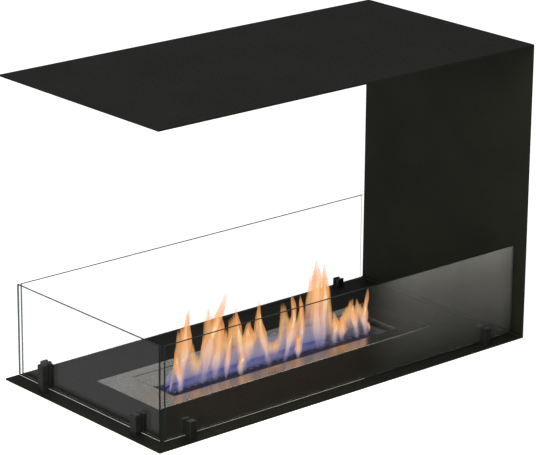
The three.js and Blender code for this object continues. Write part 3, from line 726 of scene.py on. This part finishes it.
def tongue(number, depth, half, spine, width=1.0, reach=1.0):
    """Profile: an ellipse with three slow lobes. Path: a Bezier spine up to the share called
    reach. The half width is the root of the way up, times what is left of the way, so that it
    is full low down and runs out to a point. Returns the points and how far up each one is."""
    t = np.linspace(0, 1, TONGUE_RINGS + 2)
    line = bezier(spine, t * reach) * MM
    flicker = FLICKER * np.sin(9 * t + 2.1 * number) * t
    swell = 2.2 * np.sqrt(t + 0.03) * (1 - t) ** 0.85
    radius = half * width * MM * swell * (1 + BULGE * np.sin(14 * t + number))
    angle = np.linspace(0, 2 * math.pi, TONGUE_SIDES, endpoint=False)
    lobe = 1 + LOBE * np.sin(3 * angle[None, :] + 6 * t[:, None] + number)
    x = (line[:, 0] + flicker)[:, None] + radius[:, None] * np.cos(angle) * lobe
    y = depth * MM + 2 * flicker[:, None] + FLAT * radius[:, None] * np.sin(angle) * lobe
    z = line[:, 1][:, None] + 0 * x
    rings = np.stack([x, y, z], axis=-1)
    poles = rings[[0, -1]].mean(axis=1)
    points = np.concatenate([poles[:1], rings[1:-1].reshape(-1, 3), poles[1:]])
    rise = np.concatenate([t[:1], np.repeat(t[1:-1], TONGUE_SIDES), t[-1:]]) * reach
    return points, rise


# %% [markdown]
# ### The curtain and the beds
# Between the tongues the gas hangs together as a low curtain whose ridge follows them. Drawing
# the ridge by hand would need a long list of points, so it is worked out from the tongues: each
# one lifts the ridge round its own middle by a bell curve. Under the curtain lie long low mounds:
# at the front a near-black sheet, a painted shade for the dark inside of the slot; blue gas over
# the grille; a thin dark blue painted shade along the slot's rear rim; and a pale veil of gas.

# %% Shape the curtain and the mounds
CURTAIN_START = -222
CURTAIN_END = 221
CURTAIN_LOW = 34
CURTAIN_SHARE = 0.8
CURTAIN_SPREAD = 2.4
CURTAIN_COLUMNS = 420
CURTAIN_ROWS = 40
CURTAIN_THICK = 2.5
MOUND_RINGS = 130


def curtain_ridge(x):
    """Height of the ridge at x: a low height, or the tallest of the tongues' bell curves, each
    e^-((x - middle) / spread)^2 times a share of the tongue's height. Two fine sine waves fray
    it, and it falls to nothing at both ends of the slot."""
    middles = np.array([bezier(spine, np.array([0.55]))[0, 0] for _, _, spine in TONGUES])[:, None]
    heights = np.array([spine[-1][1] for _, _, spine in TONGUES])[:, None]
    spreads = np.array([half for _, half, _ in TONGUES])[:, None] * CURTAIN_SPREAD
    bells = CURTAIN_SHARE * heights * np.exp(-(((x - middles) / spreads) ** 2))
    ridge = np.maximum(CURTAIN_LOW, bells.max(axis=0))
    along = (x - CURTAIN_START) / (CURTAIN_END - CURTAIN_START)
    end = np.sqrt(np.clip(1 - (2 * along - 1) ** 20, 0, 1))
    return ridge * end * (1 + 0.05 * np.sin(x * 0.55) + 0.03 * np.sin(x * 1.13 + 1))


def curtain(depth, foot):
    """A thin closed sheet along X, from a foot up to the ridge. Round each upright section the
    rise is half of 1 - cos a and the thickness follows sin a, so that the skins meet at the
    ridge and the foot. It sways in X and Y with the rise."""
    x = np.linspace(CURTAIN_START, CURTAIN_END, CURTAIN_COLUMNS)[:, None]
    around = np.linspace(0, 2 * math.pi, CURTAIN_ROWS, endpoint=False)[None, :]
    rise = 0.5 - 0.5 * np.cos(around) + 0 * x
    z = foot + rise * (curtain_ridge(x[:, 0])[:, None] - foot)
    y = depth + 5 * rise * np.sin(x * 0.045) + CURTAIN_THICK * np.sin(around)
    rings = np.stack([x + 7 * rise ** 2 * np.sin(x * 0.11 + 1), y, z], axis=-1) * MM
    poles = rings[[0, -1]].mean(axis=1)
    points = np.concatenate([poles[:1], rings[1:-1].reshape(-1, 3), poles[1:]])
    return points, np.concatenate([[0.5], rise[1:-1].ravel(), [0.5]])


def mound(start, stop, depth, half, foot, crest, waves):
    """Profile: half an ellipse in Y and Z on a flat foot. Path: a line along X. The height swells
    and shrinks with three sine waves, and falls to nothing at both ends. All sizes are in mm."""
    t = np.linspace(0, 1, MOUND_RINGS)
    angle = np.linspace(0, 2 * math.pi, TONGUE_SIDES, endpoint=False)
    end = np.sqrt(np.clip(1 - (2 * t - 1) ** 8, 0, 1))
    ripple = 1 + waves * (np.sin(41 * t) + np.sin(67 * t + 1) + 0.6 * np.sin(113 * t + 2)) / 2.6
    height = (crest - foot) * end * ripple
    x = (start + (stop - start) * t)[:, None] + 0 * angle
    y = depth + half * end[:, None] * np.cos(angle) * (1 + 0.1 * np.sin(23 * t)[:, None])
    z = foot + height[:, None] * (0.5 + 0.5 * np.sin(angle))
    rings = np.stack([x, y, z], axis=-1) * MM
    poles = rings[[0, -1]].mean(axis=1)
    points = np.concatenate([poles[:1], rings[1:-1].reshape(-1, 3), poles[1:]])
    rise = (points[:, 2] / MM - foot) / (crest - foot)
    return points, rise


def join_forms(forms, columns):
    """Several closed forms as one list of points, heights and faces."""
    points, rises, faces, count = [], [], [], 0
    for form, rise in forms:
        rings = (len(form) - 2) // columns
        faces += [[corner + count for corner in face] for face in pole_faces(rings, columns)]
        points.append(form)
        rises.append(rise)
        count += len(form)
    return np.concatenate(points), np.concatenate(rises), faces


# %% [markdown]
# ### Glowing gas
# Gas gives off light and casts no shadow, so the material is an emission mixed with clear air.
# An attribute holds how far up each point is. It picks the colour, from lavender at the foot to
# orange at the tip, and with a tall stretched noise it sets how much gas there is.

# %% Light the gas
def flame_finish(name, colours, cover, softness, streaks):
    """Glowing gas: colour by how far up a point is, thin where it is seen edge on."""
    material, tree, shader = new_material(name)
    tree.nodes.remove(shader)
    rise = add_node(tree, "ShaderNodeAttribute", {"attribute_name": "rise"}).outputs["Fac"]
    wisps = noise(tree, object_place(tree, (1, 1, 0.22)), scale=75, detail=3, roughness=0.6)
    grazing = add_node(tree, "ShaderNodeLayerWeight", Blend=0.5).outputs["Facing"]
    thick = math_node(tree, "POWER", math_node(tree, "SUBTRACT", 1.0, grazing), softness)
    lick = ramp(tree, wisps, (0.3, 1 - streaks), (0.65, 1.0))
    share = math_node(tree, "MULTIPLY", ramp(tree, rise, *cover), thick)
    share = math_node(tree, "MULTIPLY", share, lick)
    shift = math_node(tree, "MULTIPLY_ADD", wisps, 0.35)
    shift.node.inputs[2].default_value = -0.175
    warm = ramp(tree, math_node(tree, "ADD", rise, shift), *colours)
    gas = add_node(tree, "ShaderNodeEmission", Color=warm, Strength=1.0)
    air = add_node(tree, "ShaderNodeBsdfTransparent")
    mix = add_node(tree, "ShaderNodeMixShader", Fac=share, i1=air.outputs[0], i2=gas.outputs[0])
    tree.links.new(mix.outputs[0], tree.nodes["Material Output"].inputs["Surface"])
    return material


outer_gas = flame_finish(
    "outer_gas",
    ((0.0, (0.22, 0.21, 0.41)), (0.22, (0.50, 0.36, 0.45)), (0.38, (0.92, 0.46, 0.34)),
     (0.52, (0.98, 0.42, 0.15)), (0.8, (0.98, 0.40, 0.13)), (1.0, (0.95, 0.48, 0.26))),
    ((0.0, 0.0), (0.14, 0.22), (0.3, 0.42), (0.52, 0.85), (0.8, 0.7), (1.0, 0.0)), 1.0, 0.45,
)
core_gas = flame_finish(
    "core_gas",
    ((0.0, (0.36, 0.33, 0.50)), (0.2, (0.85, 0.58, 0.54)), (0.36, (1.0, 0.76, 0.50)),
     (0.6, (1.0, 0.84, 0.50)), (1.0, (1.0, 0.66, 0.30))),
    ((0.0, 0.0), (0.16, 0.3), (0.34, 0.7), (0.6, 0.95), (0.9, 0.4), (1.0, 0.0)), 0.9, 0.4,
)
# painted shade: a near-black sheet over the front of the slot, for the dark inside of it
painted_slot_shade = flame_finish(
    "painted_slot_shade",
    ((0.0, (0.012, 0.011, 0.028)), (0.6, (0.022, 0.019, 0.050)), (1.0, (0.07, 0.05, 0.10))),
    ((0.0, 0.9), (0.6, 0.75), (1.0, 0.3)), 0.5, 0.25,
)
blue_gas = flame_finish(
    "blue_gas",
    ((0.0, (0.042, 0.052, 0.19)), (0.4, (0.095, 0.112, 0.30)), (1.0, (0.23, 0.245, 0.43))),
    ((0.0, 0.85), (0.5, 0.7), (1.0, 0.3)), 0.5, 0.35,
)
# painted shade: a thin dark blue line along the slot's rear rim
painted_rim_shade = flame_finish(
    "painted_rim_shade",
    ((0.0, (0.018, 0.022, 0.16)), (1.0, (0.045, 0.05, 0.28))),
    ((0.0, 0.95), (1.0, 0.8)), 0.3, 0.2,
)
veil_gas = flame_finish(
    "veil_gas",
    ((0.0, (0.12, 0.13, 0.33)), (0.35, (0.28, 0.27, 0.44)), (1.0, (0.44, 0.39, 0.50))),
    ((0.0, 0.7), (0.4, 0.55), (1.0, 0.15)), 0.4, 0.3,
)
curtain_gas = flame_finish(
    "curtain_gas",
    ((0.0, (0.18, 0.19, 0.39)), (0.3, (0.48, 0.38, 0.47)), (0.5, (0.90, 0.46, 0.34)),
     (0.68, (1.0, 0.60, 0.28)), (0.85, (0.98, 0.46, 0.16)), (1.0, (0.92, 0.42, 0.20))),
    ((0.0, 0.1), (0.3, 0.2), (0.5, 0.48), (0.72, 0.78), (0.88, 0.6), (1.0, 0.0)), 0.35, 0.75,
)


CLEAR_LAYERS = 40


def flame(name, forms, gas, columns=TONGUE_SIDES):
    """A stage piece that follows the burner. Most are glowing gas; the slot's dark sheet and rim line
    are painted shade.
    """
    points, rise, faces = join_forms(forms, columns)
    item = make_mesh(name, points, faces, gas)
    item.data.attributes.new("rise", "FLOAT", "POINT").data.foreach_set("value", rise.astype(np.float32))
    item.visible_shadow = False
    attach(item, "burner")
    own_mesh(item)
    return item


scene.cycles.transparent_max_bounces = CLEAR_LAYERS
tongues = [tongue(n, *row) for n, row in enumerate(TONGUES)]
cores = [tongue(n, *row, width=0.55, reach=0.8) for n, row in enumerate(TONGUES)]
# painted shade in the front of the slot
slot_shade_mound = mound(start=-226, stop=232, depth=-20, half=14, foot=-8, crest=0, waves=0.2)
blue = mound(start=-224, stop=134, depth=2, half=6.5, foot=-6, crest=5, waves=0.25)
# painted shade along the slot's rear rim
rim = mound(start=-221, stop=132, depth=8, half=1.6, foot=-2, crest=5, waves=0.1)
veil = mound(start=-220, stop=136, depth=10, half=3, foot=0, crest=36, waves=0.12)
flame("flame_tongues", tongues, outer_gas)
flame("flame_cores", cores, core_gas)
flame("flame_painted_slot_shade", [slot_shade_mound], painted_slot_shade)
flame("flame_blue", [blue], blue_gas)
flame("flame_painted_rim_shade", [rim], painted_rim_shade)
flame("flame_veil", [veil], veil_gas)
flame("flame_curtain", [curtain(depth=-6, foot=-4)], curtain_gas, CURTAIN_ROWS)
print("tongues of flame:", len(TONGUES))
